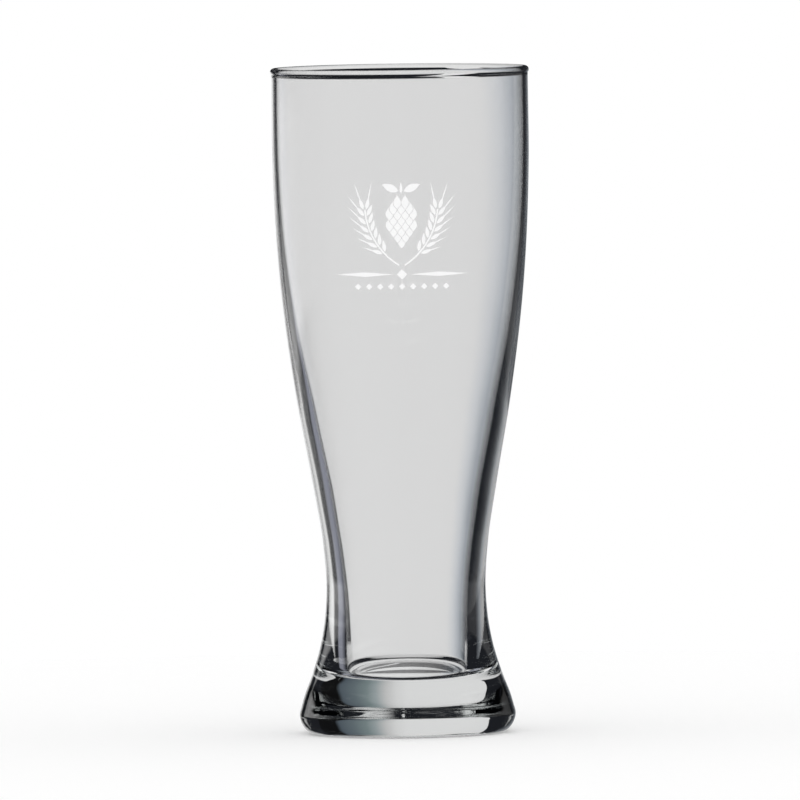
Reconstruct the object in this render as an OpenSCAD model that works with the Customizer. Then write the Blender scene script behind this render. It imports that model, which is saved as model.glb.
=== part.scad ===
// Pilsner beer glass: one blown glass with a white print fired on its front.
// The origin is the centre of the ring that it stands on. +Z runs up its axis, and the print faces -Y.

/* [Glass] */
// Overall height, from the bearing ring to the crest of the rim
glass_h = 219; // [205:1:235]
// Outer diameter of the straight mouth, just under the rim bead
mouth_d = 84.5; // [80:0.1:90]
// Outer diameter of the waist, the narrowest place
waist_d = 52.4; // [50:0.1:56]
// Height of the waist
waist_z = 47.5; // [44:0.5:52]
// Largest diameter of the foot
foot_d = 71.2; // [68:0.1:76]

/* [Wall] */
// Thickness of the wall under the rim bead
rim_wall = 1.8; // [1.5:0.1:1.9]
// Thickness of the rounded rim bead, which stands proud of the wall on both sides
bead_t = 2.5; // [2.4:0.1:2.8]
// Diameter of the cavity at the corner above its floor
cavity_d = 40.8; // [38:0.1:42]
// Height of the middle of the cavity's floor, which is the thickness of the solid foot
floor_z = 16; // [14:0.1:22]
// Radius of the corner between the cavity's floor and its wall
corner_r = 3; // [2:0.1:5]

/* [Foot] */
// Width of the oval heel, from the ring out to the widest place of the foot
heel_w = 4; // [3:0.1:6]
// Height of the oval heel, from the ring up to the widest place of the foot
heel_h = 5.8; // [4:0.1:7]
// Fullness of the heel: 2 is a plain oval, and less cuts its corner flatter
heel_full = 1.7; // [1.4:0.1:3]
// Width of the flat ring that the glass stands on
ring_w = 12.4; // [2:0.1:16]
// Height of the shallow hollow under the foot, inside the ring
punt_h = 1.1; // [0.3:0.1:3]

/* [Print] */
// Height of the print's lower edge
print_z = 147; // [130:1:150]
// Width of the border at the foot of the print
border_w = 43; // [36:0.5:46]
// Radius of the bend of the two barley stalks
stalk_r = 23.5; // [20:0.5:26]
// Thickness of the fired enamel
film_t = 0.08; // [0.06:0.01:0.15]

/* [Hidden] */
$fn = 96;

// Shape of the glass: every list of stations holds [height, radius] pairs, from the bottom up
mouth_r = mouth_d / 2;
waist_r = waist_d / 2;
foot_r = foot_d / 2;
cavity_r = cavity_d / 2;
ring_out_r = foot_r - heel_w;
bead_r = bead_t / 2;
bead_proud = 0.35;
bead_turn_out = acos(1 - bead_proud / bead_r);
bead_turn_in = acos(1 - (bead_t - rim_wall - bead_proud) / bead_r);
bead_z = glass_h - bead_r;
lip_z = bead_z - 3.4;
floor_dish = 0.4;
corner_z = floor_z + floor_dish + corner_r;
band_h = 2;

// Height at a share of the way from one place to another, with the radius at a share of its change
function station(low, high, height_share, radius_share) =
    low + [(high.x - low.x) * height_share, (high.y - low.y) * radius_share];

foot_top = [heel_h, foot_r];
waist = [waist_z, waist_r];
lip_out = [lip_z, mouth_r];
cavity_low = [corner_z, cavity_r];
lip_in = [lip_z, mouth_r - rim_wall];

// The foot flares from its widest place in to the waist, and the bowl opens from there up to the lip
outside_stations = [
    foot_top,
    station(foot_top, waist, 0.077, 0.080),
    station(foot_top, waist, 0.161, 0.188),
    station(foot_top, waist, 0.269, 0.374),
    station(foot_top, waist, 0.556, 0.770),
    waist,
    station(waist, lip_out, 0.087, 0.056),
    station(waist, lip_out, 0.207, 0.252),
    station(waist, lip_out, 0.374, 0.558),
    station(waist, lip_out, 0.584, 0.845),
    station(waist, lip_out, 0.823, 0.992),
    lip_out,
    [bead_z - bead_r * sin(bead_turn_out), mouth_r]
];

// The cavity runs up like a tube past the waist, so that the wall is thickest there and thins upwards
inside_stations = [
    cavity_low,
    station(cavity_low, lip_in, 0.145, 0.010),
    station(cavity_low, lip_in, 0.269, 0.152),
    station(cavity_low, lip_in, 0.428, 0.446),
    station(cavity_low, lip_in, 0.567, 0.712),
    station(cavity_low, lip_in, 0.720, 0.912),
    station(cavity_low, lip_in, 0.879, 0.997),
    lip_in,
    [bead_z - bead_r * sin(bead_turn_in), mouth_r - rim_wall]
];

// A smooth curve through the stations: the lean at each one is the mean of the slopes beside it
function gap(s, i) = s[i + 1].x - s[i].x;
function slope(s, i) = (s[i + 1].y - s[i].y) / gap(s, i);
function lean(s, i) = i == 0 || i == len(s) - 1 ? 0
    : (slope(s, i - 1) * gap(s, i) + slope(s, i) * gap(s, i - 1)) / (gap(s, i - 1) + gap(s, i));
function radius_between(s, i, t) =
    s[i].y * (1 + 2 * t) * pow(1 - t, 2)
    + lean(s, i) * gap(s, i) * t * pow(1 - t, 2)
    + s[i + 1].y * (3 - 2 * t) * t * t
    + lean(s, i + 1) * gap(s, i) * (t - 1) * t * t;
function wall_curve(s) = [
    for (i = [0 : len(s) - 2])
        let (bands = ceil(gap(s, i) / band_h))
            for (k = [0 : bands - 1])
                [radius_between(s, i, k / bands), s[i].x + gap(s, i) * k / bands]
];

function arc(centre, r, from, to, steps) = [
    for (k = [0 : steps])
        let (a = from + (to - from) * k / steps)
            centre + r * [cos(a), sin(a)]
];
function backwards(points) = [for (k = [len(points) - 1 : -1 : 0]) points[k]];

// A shallow dome over a round of radius r: h is its rise in the middle, from the edge's height z
function dome(r, h, z, steps) = [for (k = [0 : steps - 1]) [r * k / steps, z + h * (1 - pow(k / steps, 2))]];

outside = wall_curve(outside_stations);
inside = wall_curve(inside_stations);
ring_in_r = ring_out_r - ring_w;
punt = dome(ring_in_r, punt_h, 0, 12);
heel = [
    for (k = [0 : 16])
        let (a = 85 * k / 16, squash = 2 / heel_full)
            [ring_out_r + heel_w * pow(sin(a), squash), heel_h * (1 - pow(cos(a), squash))]
];
crest = arc([mouth_r + bead_proud - bead_r, bead_z], bead_r, -bead_turn_out, 180 + bead_turn_in, 24);
corner = arc([cavity_r - corner_r, corner_z], corner_r, -6, -90, 9);
cavity_floor = backwards(dome(cavity_r - corner_r, -floor_dish, floor_z + floor_dish, 8));

module glass_body() {
    color([0.86, 0.88, 0.88, 0.45])
        rotate_extrude()
            polygon(concat(punt, [[ring_in_r, 0]], heel, outside, crest, backwards(inside), corner, cavity_floor));
}

// The print is a film of the enamel's thickness, on the front of the glass where the print is
print_h = 38;
stalk_foot = 0.9;
emblem_z = print_z + 8.2;
hop_z = emblem_z + 23;
film_spread = 70;
film_bands = [for (p = outside) if (p.y > print_z - 2 * band_h && p.y < print_z + print_h + 2 * band_h) p];

// Lays a flat drawing, given as [across, height], on the front of the glass
module fired_on() {
    color("white")
        intersection() {
            rotate([0, 0, -90 - film_spread / 2])
                rotate_extrude(angle = film_spread)
                    polygon(concat(film_bands, backwards([for (p = film_bands) p + [film_t, 0]])));
            rotate([90, 0, 0])
                linear_extrude(height = mouth_d)
                    children();
        }
}

// A pointed leaf that grows along +X from the origin; belly is where it is widest, as a share of its length
module leaf(length, width, belly = 0.5) {
    steps = 8;
    bend = ln(0.5) / ln(belly);
    edge = [for (k = [1 : steps - 1]) [length * k / steps, width / 2 * sin(180 * pow(k / steps, bend))]];
    polygon(concat([[0, 0]], edge, [[length, 0]], backwards([for (p = edge) [p.x, -p.y]])));
}

// Barley: an ear on a stalk that bends up from the middle, with paired grains and long beards
stalk_w = 0.5;
stalk_from = -58;
stalk_to = -4;
grain_l = 3.95;
grain_w = 1.2;
grain_lean = 30;
grain_pairs = 6;
grain_step = 2.72;
beard_l = 5.5;
beard_w = 0.4;
print_gap = 0.25;

// Puts a drawing beside the stalk: the arc runs up to the ear's tip, and back is the length left to the tip
module beside_stalk(back, side, lean) {
    rotate(stalk_to - back / stalk_r * 180 / PI)
        translate([stalk_r + side * (stalk_w / 2 + print_gap), 0])
            rotate(90 - side * lean)
                children();
}

module bearded_grain(beard) {
    leaf(grain_l, grain_w, 0.42);
    translate([grain_l * 0.8, 0])
        leaf(beard, beard_w, 0.3);
}

module barley_ear() {
    translate([stalk_foot, 0] - stalk_r * [cos(stalk_from), sin(stalk_from)]) {
        polygon(concat(
            arc([0, 0], stalk_r + stalk_w / 2, stalk_from, stalk_to, 16),
            arc([0, 0], stalk_r - stalk_w / 2, stalk_to, stalk_from, 16)
        ));
        for (i = [0 : grain_pairs - 1]) {
            back = grain_step * (i + 0.75);
            beside_stalk(back, 1, grain_lean)
                bearded_grain(beard_l - 0.35 * i);
            beside_stalk(back, -1, grain_lean + 4)
                leaf(grain_l, grain_w, 0.42);
        }
        for (side = [-1, 1])
            beside_stalk(-0.1, side, 15)
                bearded_grain(beard_l + 0.5);
    }
}

module print_barley_right() {
    fired_on()
        translate([0, emblem_z])
            barley_ear();
}

module print_barley_left() {
    fired_on()
        translate([0, emblem_z])
            mirror([1, 0])
                barley_ear();
}

// Hop cone: rows of hanging bracts, each lapped over the row below it, under a stem with two leaves
bract_l = 4.6;
bract_w = 2.46;
bract_rows = [2, 3, 4, 3, 4, 3, 2, 1];
bract_drop = 1.84;
bract_step = 2.59;

module bract_row(row, grow) {
    for (k = [0 : bract_rows[row] - 1])
        translate([(k - (bract_rows[row] - 1) / 2) * bract_step, grow - row * bract_drop])
            rotate(-90)
                leaf(bract_l + 2 * grow, bract_w + 2 * grow, 0.55);
}

module print_hop_cone() {
    fired_on()
        translate([0, hop_z]) {
            for (row = [0 : len(bract_rows) - 1])
                difference() {
                    bract_row(row, 0);
                    for (above = [0 : row - 1])
                        bract_row(above, print_gap);
                }
            translate([0, 0.6])
                rotate(90)
                    leaf(3.8, 0.9, 0.3);
            for (side = [-1, 1])
                translate([side * 0.9, 1.2])
                    rotate(90 - side * 66)
                        leaf(5.8, 2.45, 0.45);
        }
}

// Border: two tapered bars beside a lozenge, over a row of small lozenges
bar_h = 1.5;
lozenge = 3.4;
dots = 9;
dot = 2.1;
dot_step = 3.6;

module diamond(w, h) {
    polygon([[-w / 2, 0], [0, -h / 2], [w / 2, 0], [0, h / 2]]);
}

module print_border() {
    bar_z = print_z + 5.2;
    dot_z = print_z + 1.2;
    inner = lozenge / 2 + 1;
    bar_l = border_w / 2 - inner;
    fired_on() {
        translate([0, bar_z])
            diamond(lozenge, lozenge);
        for (side = [-1, 1])
            translate([side * (inner + bar_l / 2), bar_z])
                diamond(bar_l, bar_h);
        for (k = [0 : dots - 1])
            translate([(k - (dots - 1) / 2) * dot_step, dot_z])
                diamond(dot, dot);
    }
}

glass_body();
print_hop_cone();
print_barley_left();
print_barley_right();
print_border();
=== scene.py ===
"""Pilsner beer glass: one blown glass with a white barley and hop print fired on its front."""

import math

import bpy
from mathutils import Matrix, Vector


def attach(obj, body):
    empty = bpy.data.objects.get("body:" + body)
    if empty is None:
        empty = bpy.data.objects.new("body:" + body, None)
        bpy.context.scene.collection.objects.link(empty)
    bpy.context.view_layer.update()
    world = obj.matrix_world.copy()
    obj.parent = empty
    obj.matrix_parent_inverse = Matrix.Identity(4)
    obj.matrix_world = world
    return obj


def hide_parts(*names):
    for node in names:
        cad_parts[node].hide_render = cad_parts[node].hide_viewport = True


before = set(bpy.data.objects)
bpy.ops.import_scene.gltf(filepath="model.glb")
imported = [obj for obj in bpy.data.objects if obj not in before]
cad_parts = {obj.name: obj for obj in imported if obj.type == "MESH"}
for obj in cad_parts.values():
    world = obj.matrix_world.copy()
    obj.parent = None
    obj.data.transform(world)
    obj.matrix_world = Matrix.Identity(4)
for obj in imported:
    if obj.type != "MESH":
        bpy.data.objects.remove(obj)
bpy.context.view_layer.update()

# Camera: a long lens six metres away and 17 cm above the rim, rolled by less than a degree, so that the glass leans
# to the left as it does in the photograph. Light in the solid foot is mirrored many times inside the glass before
# it leaves, so it gets enough bounces for that.
CAMERA_DISTANCE = 6.2
CAMERA_HEIGHT = 0.385
CAMERA_ROLL = math.radians(-0.75)
CAMERA_REACH = 40.0
AIM = Vector((-0.0012, 0.0, 0.1093))
VIEW_WIDTH = 0.26312
LIGHT_BOUNCES = 24

camera_data = bpy.data.cameras.new("camera")
camera_data.lens = camera_data.sensor_width * CAMERA_DISTANCE / VIEW_WIDTH
camera_data.clip_end = CAMERA_REACH
camera = bpy.data.objects.new("camera", camera_data)
camera.location = (AIM.x, -CAMERA_DISTANCE, CAMERA_HEIGHT)
look = (AIM - camera.location).to_track_quat("-Z", "Y").to_matrix().to_4x4()
camera.matrix_world = Matrix.Translation(camera.location) @ look @ Matrix.Rotation(CAMERA_ROLL, 4, "Z")
bpy.context.scene.collection.objects.link(camera)
bpy.context.scene.camera = camera
bpy.context.scene.view_settings.view_transform = "Standard"
light_paths = bpy.context.scene.cycles
light_paths.max_bounces = LIGHT_BOUNCES
light_paths.glossy_bounces = LIGHT_BOUNCES
light_paths.transmission_bounces = LIGHT_BOUNCES

# Studio: the camera, the floor and the print see plain white all round, and glass doesn't. What glass sees depends on
# the way that the light went: straight through, mirrored inside the glass, or mirrored by its outside. So this is no
# single real room. The tones here and on the card and side lights were fitted to those that the photograph shows.
WHITE = (1.0, 1.0, 1.0)
BLACK = (0.0, 0.0, 0.0)
PALE = (0.74, 0.74, 0.74)
DARK = (0.012, 0.013, 0.016)
PALE_TO_DARK = ((0.20, PALE), (0.28, DARK))  # in quarter turns from the middle of a pale side
PALE_TOP = 0.048  # heights here are sines of the elevation
SOFT_EDGE = 25.0  # one over the height that an edge takes
BEHIND = 75  # degrees to each side of straight behind the glass
LOW_PALE = 0.14  # how far down it turns pale again
LOW_PALE_BEHIND = 0.2  # how much further down behind the glass
WALL_STRIP_TONE = (0.27, 0.28, 0.33)
WALL_STRIP = ((-60, DARK), (-48, WALL_STRIP_TONE), (-39, WALL_STRIP_TONE), (-35, DARK))  # degrees from behind
LAMP_X = 0.18
LAMP_Z = 0.65
LAMP_EDGE = 5.0
LAMP_TONE = (0.6, 0.6, 0.6)
ONCE = 0.5  # a count above this is at least one
DEGREES = 180 / math.pi


class Socket:
    """A shader socket or a number that can be used in Python expressions, which add Math nodes."""

    def __init__(self, shader, source):
        self.shader = shader
        self.source = source

    def math(self, operation, *others, clamp=False):
        values = {f"i{index}": value for index, value in enumerate((self, *others))}
        return self.shader.node("Math", {"operation": operation, "use_clamp": clamp}, **values)["Value"]

    def __add__(self, other):
        return self.math("ADD", other)

    def __sub__(self, other):
        return self.math("SUBTRACT", other)

    def __rsub__(self, other):
        return Socket(self.shader, other).math("SUBTRACT", self)

    def __mul__(self, other):
        return self.math("MULTIPLY", other)

    def __truediv__(self, other):
        return self.math("DIVIDE", other)

    def __rtruediv__(self, other):
        return Socket(self.shader, other).math("DIVIDE", self)

    def __abs__(self):
        return self.math("ABSOLUTE")

    __radd__ = __add__
    __rmul__ = __mul__


class Shader:
    """The node tree of a material or of the world, with one method that makes any node."""

    def __init__(self, owner):
        owner.use_nodes = True
        self.tree = owner.node_tree
        self.tree.nodes.clear()

    def node(self, kind, settings=None, stops=(), **inputs):
        """Makes a node. Inputs go by name, or by number as i0, i1 and so on, and colours are three numbers."""
        made = self.tree.nodes.new("ShaderNode" + kind)
        for name, value in (settings or {}).items():
            setattr(made, name, value)
        for index, (place, colour) in enumerate(stops):
            ramp = made.color_ramp.elements
            stop = ramp[index] if index < 2 else ramp.new(place)
            stop.position = place
            stop.color = (*colour, 1.0)
        for name, value in inputs.items():
            target = made.inputs[int(name[1:]) if name[1:].isdigit() else name.replace("_", " ")]
            value = value.source if isinstance(value, Socket) else value
            if isinstance(value, bpy.types.NodeSocket):
                self.tree.links.new(value, target)
            else:
                target.default_value = (*value, 1.0) if target.type == "RGBA" else value
        return {out.name: Socket(self, out) for out in made.outputs}


world = bpy.data.worlds.new("studio")
bpy.context.scene.world = world
sky = Shader(world)
path = sky.node("LightPath")
way = sky.node("SeparateXYZ", i0=sky.node("TexCoord")["Generated"])
azimuth = way["X"].math("ARCTAN2", way["Y"]) * DEGREES
high = (way["Z"] - PALE_TOP).math("MULTIPLY", SOFT_EDGE, clamp=True)

# What light sees that went straight through: pale behind, in front, at both sides and far down, and dark between
# the sides and overhead.
quarter = abs((azimuth / 90 + 0.5).math("FRACT") - 0.5)
sides = sky.node("ValToRGB", stops=PALE_TO_DARK, i0=quarter)
walls = sky.node("MixRGB", Fac=high, Color1=sides["Color"], Color2=DARK)
behind = abs(azimuth).math("LESS_THAN", BEHIND)
low = (way["Z"] * -1 - behind * LOW_PALE_BEHIND - LOW_PALE).math("MULTIPLY", SOFT_EDGE, clamp=True)
straight = sky.node("MixRGB", Fac=low, Color1=walls["Color"], Color2=PALE)

# What light sees that was mirrored inside the glass: a dim strip beyond the card's left edge, and a lamp high up on
# the right.
strip_stops = [(degrees / 360 + 0.5, tone) for degrees, tone in WALL_STRIP]
strip = sky.node("ValToRGB", stops=strip_stops, i0=azimuth / 360 + 0.5)
beside = sky.node("MixRGB", Fac=high, Color1=strip["Color"], Color2=DARK)
lamp = (way["X"] - LAMP_X).math("MULTIPLY", LAMP_EDGE, clamp=True) * way["Z"].math("GREATER_THAN", LAMP_Z)
overhead = sky.node("MixRGB", Fac=lamp, Color1=beside["Color"], Color2=LAMP_TONE)

# Light that was mirrored by the outside sees darkness, apart from the card and the side lights below.
mirrored_inside = path["Glossy Depth"].math("GREATER_THAN", ONCE)
through = sky.node("MixRGB", Fac=mirrored_inside, Color1=straight["Color"], Color2=overhead["Color"])
mirrored_outside = path["Transmission Depth"].math("LESS_THAN", ONCE)
around = sky.node("MixRGB", Fac=mirrored_outside, Color1=through["Color"], Color2=DARK)
by_glass = path["Is Transmission Ray"].math("MAXIMUM", path["Is Glossy Ray"])
by_glass = by_glass * path["Diffuse Depth"].math("LESS_THAN", ONCE)
studio = sky.node("MixRGB", Fac=by_glass, Color1=WHITE, Color2=around["Color"])
light = sky.node("Background", Color=studio["Color"], Strength=1.0)
sky.node("OutputWorld", Surface=light["Background"])

# The card: a pale card close behind the glass, which only glass sees. It is brightest on its left and falls off
# blue-grey on its right, and a narrow tongue on its top edge breaks the dark lines of the rim. Light that went
# through the solid foot sees other tones on it than light through the bowl, with more of its dim right side.
MM = 0.001
CARD_Y = 0.185
CARD_LEFT = -0.114
CARD_RIGHT = 0.15
CARD_LOW = -0.12
CARD_TOP = 0.219
TONGUE_X = (0.017, 0.031)
TONGUE_TOP = 0.5
TONES_WIDTH = 0.5  # the width that the tones below are laid out on
TONES_TAPER = 1.5  # how much faster they fall off on the right for each metre up
TONES_SPREAD = 0.2  # how much wider they are on the left for light that no mirror turned
DIM_BY = 0.4  # what the right side loses for mirrored light
DIM_EDGE = 25.0
SOLID_CROSSINGS = 2.5  # light through the solid foot has crossed two surfaces, and through the bowl four
SOLID_TOP = 0.15  # the solid foot's tones show only below this height on the card
BOWL_TONES = (
    (-104, (0.12, 0.12, 0.12)),
    (-90, (0.80, 0.80, 0.80)),
    (-78, (0.90, 0.90, 0.90)),
    (-60, (0.87, 0.87, 0.87)),
    (-30, (0.82, 0.82, 0.82)),
    (0, (0.80, 0.80, 0.80)),
    (44, (0.80, 0.80, 0.80)),
    (60, (0.68, 0.70, 0.73)),
    (76, (0.50, 0.53, 0.57)),
    (92, (0.35, 0.38, 0.41)),
    (107, (0.20, 0.22, 0.24)),
    (122, (0.10, 0.11, 0.13)),
    (145, (0.03, 0.03, 0.035)),
)
FOOT_TONES = (
    (-118, (0.01, 0.01, 0.01)),
    (-104, (0.50, 0.50, 0.50)),
    (-94, (0.76, 0.76, 0.76)),
    (0, (0.73, 0.73, 0.73)),
    (10, (0.67, 0.67, 0.67)),
    (19, (0.53, 0.53, 0.53)),
    (29, (0.30, 0.34, 0.35)),
    (39, (0.18, 0.225, 0.23)),
    (55, (0.12, 0.15, 0.165)),
    (78, (0.08, 0.10, 0.12)),
    (88, (0.005, 0.005, 0.005)),
)


def glass_only(name, mesh):
    """Puts a light in the studio that only glass sees and that casts no shadow."""
    made = bpy.data.objects.new(name, mesh)
    bpy.context.scene.collection.objects.link(made)
    made.visible_camera = False
    made.visible_diffuse = False
    made.visible_shadow = False
    return made


def on_card(tones):
    """Turns tones by millimetres across the card into stops of its colour ramp."""
    return [(x * MM / TONES_WIDTH + 0.5, tone) for x, tone in tones]


card_corners = [(x, CARD_Y, z) for z in (CARD_LOW, CARD_TOP) for x in (CARD_LEFT, CARD_RIGHT)]
tongue_corners = [(x, CARD_Y, z) for z in (CARD_TOP, TONGUE_TOP) for x in TONGUE_X]
card_mesh = bpy.data.meshes.new("card")
card_mesh.from_pydata(card_corners + tongue_corners, [], [(0, 1, 3, 2), (4, 5, 7, 6)])
card = glass_only("card", card_mesh)
card_material = bpy.data.materials.new("card_light")
card_shader = Shader(card_material)
card_place = card_shader.node("SeparateXYZ", i0=card_shader.node("NewGeometry")["Position"])
card_path = card_shader.node("LightPath")
unmirrored = card_path["Glossy Depth"].math("LESS_THAN", ONCE)
on_right = card_place["X"].math("GREATER_THAN", 0.0)
left_scale = 1 - unmirrored * TONES_SPREAD
right_scale = card_place["Z"] * TONES_TAPER + 1
card_scale = left_scale + on_right * (right_scale - left_scale)
across = card_place["X"] * card_scale / TONES_WIDTH + 0.5
bowl_view = card_shader.node("ValToRGB", stops=on_card(BOWL_TONES), i0=across)
foot_view = card_shader.node("ValToRGB", stops=on_card(FOOT_TONES), i0=across)
solid = card_path["Transmission Depth"].math("LESS_THAN", SOLID_CROSSINGS) * unmirrored
solid = solid * card_place["Z"].math("LESS_THAN", SOLID_TOP)
card_tone = card_shader.node("MixRGB", Fac=solid, Color1=bowl_view["Color"], Color2=foot_view["Color"])
right_side = card_place["X"].math("MULTIPLY", DIM_EDGE, clamp=True)
kept_light = 1 - right_side * (1 - unmirrored) * DIM_BY
card_colour = card_shader.node("MixRGB", Fac=kept_light, Color1=BLACK, Color2=card_tone["Color"])
card_light = card_shader.node("Emission", Color=card_colour["Color"], Strength=1.0)
card_shader.node("OutputMaterial", Surface=card_light["Emission"])
card_mesh.materials.append(card_material)

# Side lights: two curved screens a metre from the glass, with soft lower and upper ends. Only the first mirror
# image in its outside shows them, as pale lines just inside its edges, and the left one is the brighter.
SCREEN_RADIUS = 1.0
SCREEN_LOW = -0.04
SCREEN_TOP = 0.21
SCREEN_FADE = 0.03
SCREEN_STEPS = 24
LEFT_TONES = ((-34, 0.5), (-44, 1.3), (-64, 1.4), (-80, 0.5), (-100, 0.05))
RIGHT_TONES = ((34, 0.1), (50, 0.3), (80, 0.35), (100, 0.05))


def screen(name, tones):
    """A part of a cylinder round the glass, with its tones by degrees from straight behind the glass."""
    start, end = tones[0][0], tones[-1][0]
    turns = [math.radians(start + (end - start) * k / SCREEN_STEPS) for k in range(SCREEN_STEPS + 1)]
    low_edge = [(SCREEN_RADIUS * math.sin(a), SCREEN_RADIUS * math.cos(a), SCREEN_LOW) for a in turns]
    top_edge = [(x, y, SCREEN_TOP) for x, y, z in low_edge]
    row = len(turns)
    panes = [(k, k + 1, k + row + 1, k + row) for k in range(SCREEN_STEPS)]
    mesh = bpy.data.meshes.new(name)
    mesh.from_pydata(low_edge + top_edge, [], panes)
    made = glass_only(name, mesh)
    material = bpy.data.materials.new(name)
    shader = Shader(material)
    place = shader.node("SeparateXYZ", i0=shader.node("NewGeometry")["Position"])
    azimuth = place["X"].math("ARCTAN2", place["Y"]) * DEGREES
    along = (azimuth - start) / (end - start)
    stops = [((degrees - start) / (end - start), (tone, tone, tone)) for degrees, tone in tones]
    tone = shader.node("ValToRGB", stops=stops, i0=along)
    low_end = ((place["Z"] - SCREEN_LOW) / SCREEN_FADE).math("MINIMUM", 1.0)
    top_end = ((SCREEN_TOP - place["Z"]) / SCREEN_FADE).math("MINIMUM", 1.0)
    faded = shader.node("MixRGB", Fac=low_end * top_end, Color1=BLACK, Color2=tone["Color"])
    glow = shader.node("Emission", Color=faded["Color"], Strength=1.0)
    first = shader.node("LightPath")["Transmission Depth"].math("LESS_THAN", ONCE)
    unseen = shader.node("BsdfTransparent")
    seen_first = shader.node("MixShader", Fac=first, i1=unseen["BSDF"], i2=glow["Emission"])
    shader.node("OutputMaterial", Surface=seen_first["Shader"])
    mesh.materials.append(material)


screen("left_light", LEFT_TONES)
screen("right_light", RIGHT_TONES)

# Floor: a white round board under the glass, which takes its faint shadow. The glass doesn't show it: light that
# goes through the glass or off it passes the board and reaches the card or the studio beyond.
FLOOR_RADIUS = 0.45
FLOOR_SIDES = 96
FLOOR_DROP = 0.0003
floor_mesh = bpy.data.meshes.new("floor")
floor_turns = [2 * math.pi * k / FLOOR_SIDES for k in range(FLOOR_SIDES)]
floor_edge = [(FLOOR_RADIUS * math.cos(a), FLOOR_RADIUS * math.sin(a), -FLOOR_DROP) for a in floor_turns]
floor_mesh.from_pydata(floor_edge, [], [tuple(range(FLOOR_SIDES))])
floor = bpy.data.objects.new("floor", floor_mesh)
bpy.context.scene.collection.objects.link(floor)
floor.visible_transmission = False
floor.visible_glossy = False
floor_material = bpy.data.materials.new("floor_board")
board = Shader(floor_material)
board.node("OutputMaterial", Surface=board.node("BsdfDiffuse", Color=WHITE)["BSDF"])
floor_mesh.materials.append(floor_material)

# The glass: one gob of clear soda-lime glass blown in a mould, with a fire-polished bead at the rim, a wall that
# thickens down to the waist, a solid foot, a rounded heel, a flat ring to stand on and a shallow hollow under it.
# Sizes are in millimetres.
GLASS_H = 219.0
MOUTH_R = 42.25
WAIST_R = 26.2
WAIST_Z = 47.5
FOOT_R = 35.6
RIM_WALL = 1.8
BEAD_T = 2.5
BEAD_PROUD = 0.35
LIP_DROP = 3.4
CAVITY_R = 20.4
FLOOR_Z = 16.0
FLOOR_DISH = 0.4
CORNER_R = 3.0
HEEL_W = 4.0
HEEL_H = 5.8
HEEL_FULL = 1.7
HEEL_SWEEP = 86
RING_W = 12.4
PUNT_H = 1.1
FOOT_SHARES = ((0.0, 0.0), (0.077, 0.080), (0.161, 0.188), (0.269, 0.374), (0.556, 0.770))
BOWL_SHARES = ((0.0, 0.0), (0.087, 0.056), (0.207, 0.252), (0.374, 0.558), (0.584, 0.845), (0.823, 0.992), (1.0, 1.0))
CAVITY_SHARES = (
    (0.0, 0.0), (0.145, 0.010), (0.269, 0.152), (0.428, 0.446),
    (0.567, 0.712), (0.720, 0.912), (0.879, 0.997), (1.0, 1.0),
)
BAND_H = 1.0
TURNS = 256
PUNT_STEPS = 24
HEEL_STEPS = 24
BEAD_STEPS = 36
CORNER_STEPS = 16
FLOOR_STEPS = 12

bead_r = BEAD_T / 2
bead_z = GLASS_H - bead_r
turn_out = math.acos(1 - BEAD_PROUD / bead_r)
turn_in = math.acos(1 - (BEAD_T - RIM_WALL - BEAD_PROUD) / bead_r)
lip_z = bead_z - LIP_DROP
corner_z = FLOOR_Z + FLOOR_DISH + CORNER_R
ring_out = FOOT_R - HEEL_W
ring_in = ring_out - RING_W


def stations(low, high, shares):
    """Heights and radii at shares of the way from one place to another, and of the change of radius."""
    return [(low[0] + (high[0] - low[0]) * h, low[1] + (high[1] - low[1]) * r) for h, r in shares]


def wall_curve(marks):
    """Radius and height along a smooth curve through the stations, level at both ends."""
    gaps = [b[0] - a[0] for a, b in zip(marks, marks[1:])]
    slopes = [(b[1] - a[1]) / gap for a, b, gap in zip(marks, marks[1:], gaps)]
    leans = [0.0]
    for i in range(1, len(slopes)):
        leans.append((slopes[i - 1] * gaps[i] + slopes[i] * gaps[i - 1]) / (gaps[i - 1] + gaps[i]))
    leans.append(0.0)
    points = []
    for i, gap in enumerate(gaps):
        bands = math.ceil(gap / BAND_H)
        for k in range(bands):
            t = k / bands
            radius = marks[i][1] * (1 + 2 * t) * (1 - t) ** 2 + leans[i] * gap * t * (1 - t) ** 2
            radius += marks[i + 1][1] * (3 - 2 * t) * t * t + leans[i + 1] * gap * (t - 1) * t * t
            points.append((radius, marks[i][0] + gap * t))
    return points


def arc(centre, radius, start, end, steps):
    """Points on an arc in the glass's section, with angles in degrees."""
    angles = [math.radians(start + (end - start) * k / steps) for k in range(steps + 1)]
    return [(centre[0] + radius * math.cos(a), centre[1] + radius * math.sin(a)) for a in angles]


def heel(steps):
    """The squashed oval from the ring up to the widest place of the foot; HEEL_FULL 2 would be a plain oval."""
    turns = [math.radians(90 - HEEL_SWEEP * k / steps) for k in range(steps + 1)]
    power = 2 / HEEL_FULL
    return [(ring_out + HEEL_W * math.cos(a) ** power, HEEL_H - HEEL_H * math.sin(a) ** power) for a in turns]


def dome(radius, rise, edge_z, steps):
    """A shallow dome from the axis out to its edge, without the edge point."""
    return [(radius * k / steps, edge_z + rise * (1 - (k / steps) ** 2)) for k in range(steps)]


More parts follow.
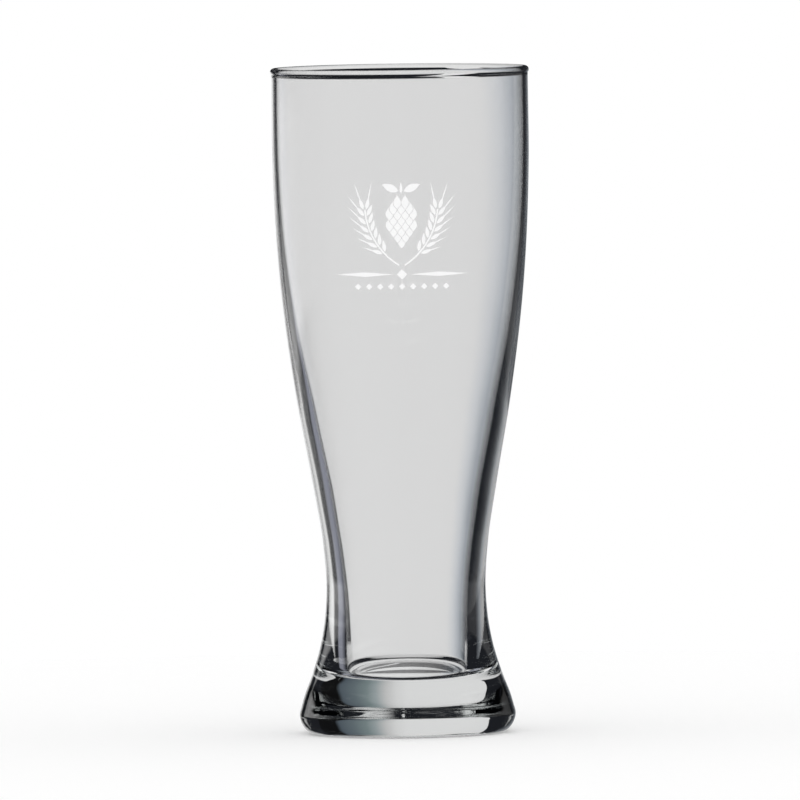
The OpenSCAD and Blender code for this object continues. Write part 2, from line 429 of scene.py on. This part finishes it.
def turned(name, profile, turns):
    """A closed mesh made by turning a section, which starts and ends on the axis, all the way round."""
    low, *ring_points, high = profile
    vertices = [(0.0, 0.0, low[1] * MM)]
    for radius, z in ring_points:
        for k in range(turns):
            a = 2 * math.pi * k / turns
            vertices.append((radius * MM * math.cos(a), radius * MM * math.sin(a), z * MM))
    vertices.append((0.0, 0.0, high[1] * MM))
    top = len(vertices) - 1
    last = 1 + (len(ring_points) - 1) * turns
    faces = []
    for k in range(turns):
        after = (k + 1) % turns
        faces.append((0, 1 + after, 1 + k))
        for row in range(len(ring_points) - 1):
            base = 1 + row * turns
            faces.append((base + k, base + after, base + turns + after, base + turns + k))
        faces.append((last + k, last + after, top))
    mesh = bpy.data.meshes.new(name)
    mesh.from_pydata(vertices, [], faces)
    mesh.shade_smooth()
    made = bpy.data.objects.new(name, mesh)
    bpy.context.scene.collection.objects.link(made)
    return made


waist = (WAIST_Z, WAIST_R)
lip_out = (lip_z, MOUTH_R)
lip_in = (lip_z, MOUTH_R - RIM_WALL)
outside_marks = stations((HEEL_H, FOOT_R), waist, FOOT_SHARES) + stations(waist, lip_out, BOWL_SHARES)
outside_marks.append((bead_z - bead_r * math.sin(turn_out), MOUTH_R))
inside_marks = stations((corner_z, CAVITY_R), lip_in, CAVITY_SHARES)
inside_marks.append((bead_z - bead_r * math.sin(turn_in), MOUTH_R - RIM_WALL))
bead_centre = (MOUTH_R + BEAD_PROUD - bead_r, bead_z)
corner_centre = (CAVITY_R - CORNER_R, corner_z)

section = dome(ring_in, PUNT_H, 0.0, PUNT_STEPS) + [(ring_in, 0.0)]
section += heel(HEEL_STEPS)
section += wall_curve(outside_marks)
section += arc(bead_centre, bead_r, -math.degrees(turn_out), 180 + math.degrees(turn_in), BEAD_STEPS)
section += wall_curve(inside_marks)[::-1]
section += arc(corner_centre, CORNER_R, -5, -90, CORNER_STEPS)
section += dome(CAVITY_R - CORNER_R, -FLOOR_DISH, FLOOR_Z + FLOOR_DISH, FLOOR_STEPS)[::-1]

glass = turned("blown_glass", section, TURNS)
glass_material = bpy.data.materials.new("clear_soda_lime_glass")
clear = Shader(glass_material)
place = clear.node("TexCoord")["Object"]
mould_waves = clear.node("TexNoise", Vector=place, Scale=45.0, Detail=1.0, Roughness=0.4)["Fac"]
waves = clear.node("Bump", Height=mould_waves, Strength=0.25, Distance=0.00003)["Normal"]
wipe_marks = clear.node("TexNoise", Vector=place, Scale=120.0, Detail=3.0, Roughness=0.6)["Fac"]
haze = (wipe_marks - 0.5).math("MULTIPLY", 0.02, clamp=True)
glass_surface = clear.node(
    "BsdfPrincipled", Base_Color=WHITE, Roughness=haze, IOR=1.52, Transmission_Weight=1.0, Normal=waves
)
glass_body = clear.node("VolumeAbsorption", Color=(0.80, 0.90, 0.87), Density=1.5)
clear.node("OutputMaterial", Surface=glass_surface["BSDF"], Volume=glass_body["Volume"])
glass.data.materials.append(glass_material)
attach(glass, "root")
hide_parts("glass_body")

# The fired print: white glass enamel in four groups of islands, screen printed on the front and fused to the glass.
# It is matt, with the fine grain of the powder and slightly thinner spots where the ink ran out.
FULL_INK = (0.99, 0.99, 0.99)
THIN_INK = (0.96, 0.963, 0.966)
THIN_FROM = 0.45
THIN_EDGE = 4.0
MATT = 0.45
GRAIN_MATT = 0.25

enamel_material = bpy.data.materials.new("white_enamel")
enamel = Shader(enamel_material)
place = enamel.node("TexCoord")["Object"]
grain = enamel.node("TexNoise", Vector=place, Scale=3500.0, Detail=2.0, Roughness=0.6)["Fac"]
patches = enamel.node("TexNoise", Vector=place, Scale=260.0, Detail=2.0, Roughness=0.5)["Fac"]
thin = (patches - THIN_FROM).math("MULTIPLY", THIN_EDGE, clamp=True)
ink = enamel.node("MixRGB", Fac=thin * 0.6 + grain * 0.4, Color1=FULL_INK, Color2=THIN_INK)
grit = enamel.node("Bump", Height=grain, Strength=0.3, Distance=0.00002)["Normal"]
enamel_surface = enamel.node(
    "BsdfPrincipled", Base_Color=ink["Color"], Roughness=grain * GRAIN_MATT + MATT, Normal=grit
)
enamel.node("OutputMaterial", Surface=enamel_surface["BSDF"])
for name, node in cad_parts.items():
    if name.startswith("print_"):
        node.data.materials.clear()
        node.data.materials.append(enamel_material)
